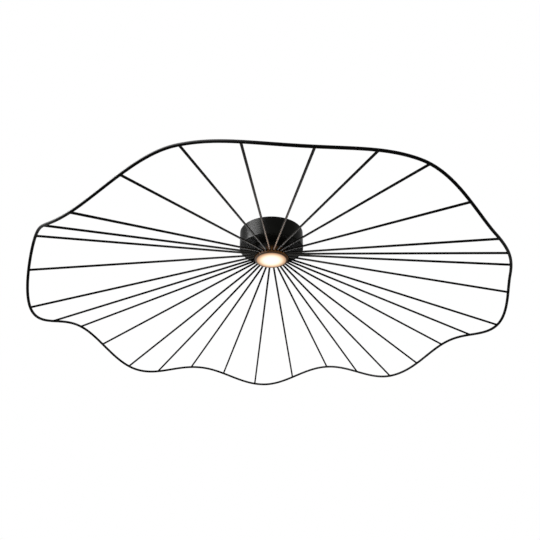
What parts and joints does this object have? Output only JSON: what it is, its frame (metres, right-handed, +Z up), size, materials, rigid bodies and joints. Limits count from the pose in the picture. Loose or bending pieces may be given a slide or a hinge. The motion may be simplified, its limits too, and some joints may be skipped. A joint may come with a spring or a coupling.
{
  "type": "led ceiling light",
  "caption": "Ceiling light: a round canopy with a lit drum under it, and straight radial rods that carry one large wavy hoop.",
  "frame": {"origin": "on the ceiling, at the middle of the bracket's top face and of the canopy's open rim", "axes": "+Z up, into the ceiling; the two ceiling slots lie along X; -Y is the side nearest to the camera in the picture"},
  "size_m": [1.0162, 1.012, 0.2247],
  "materials": {
    "satin_black": "satin black powder coat on steel",
    "opal": "opal acrylic, lit warm white from behind",
    "white_plastic": "matt white moulding",
    "board_white": "aluminium board under white solder mask",
    "phosphor": "yellow phosphor under clear silicone",
    "silicone_pad": "grey silicone",
    "zinc_steel": "zinc-plated steel",
    "supply_plastic": "moulded off-white",
    "terminal_plastic": "moulded white nylon",
    "brass": "bright brass",
    "lead_brown": "brown insulation",
    "lead_blue": "blue insulation",
    "lead_green": "green and yellow insulation",
    "lead_red": "red insulation",
    "lead_black": "black insulation"
  },
  "bodies": {
    "root": {"bezel": "satin_black", "board_screws": "zinc_steel", "canopy": "satin_black", "canopy_screws": "satin_black", "ceiling_bracket": "zinc_steel", "diffuser": "opal", "driver_case": "supply_plastic", "driver_lid": "supply_plastic", "driver_nuts": "zinc_steel", "earth_lead": "lead_green", "earth_ring": "brass", "earth_screw": "zinc_steel", "hub_drum": "satin_black", "hub_tube": "zinc_steel", "led_board": "board_white", "led_chips": "phosphor", "led_lead_minus": "lead_black", "led_lead_plus": "lead_red", "live_lead": "lead_brown", "neutral_lead": "lead_blue", "reflector": "white_plastic", "rim": "satin_black", "terminal_block": "terminal_plastic", "terminal_fixing_screws": "zinc_steel", "terminal_screws": "brass", "thermal_pad": "silicone_pad", "tube_nuts": "zinc_steel", "tube_washers": "zinc_steel", "wire_01": "satin_black", "wire_02": "satin_black", "wire_03": "satin_black", "wire_04": "satin_black", "wire_05": "satin_black", "wire_06": "satin_black", "wire_07": "satin_black", "wire_08": "satin_black", "wire_09": "satin_black", "wire_10": "satin_black", "wire_11": "satin_black", "wire_12": "satin_black", "wire_13": "satin_black", "wire_14": "satin_black", "wire_15": "satin_black", "wire_16": "satin_black", "wire_17": "satin_black", "wire_18": "satin_black", "wire_19": "satin_black", "wire_20": "satin_black", "wire_21": "satin_black", "wire_22": "satin_black", "wire_23": "satin_black", "wire_24": "satin_black", "wire_25": "satin_black", "wire_26": "satin_black", "wire_27": "satin_black", "wire_28": "satin_black", "wire_29": "satin_black", "wire_30": "satin_black", "wire_31": "satin_black", "wire_32": "satin_black"}
  },
  "joints": []
}
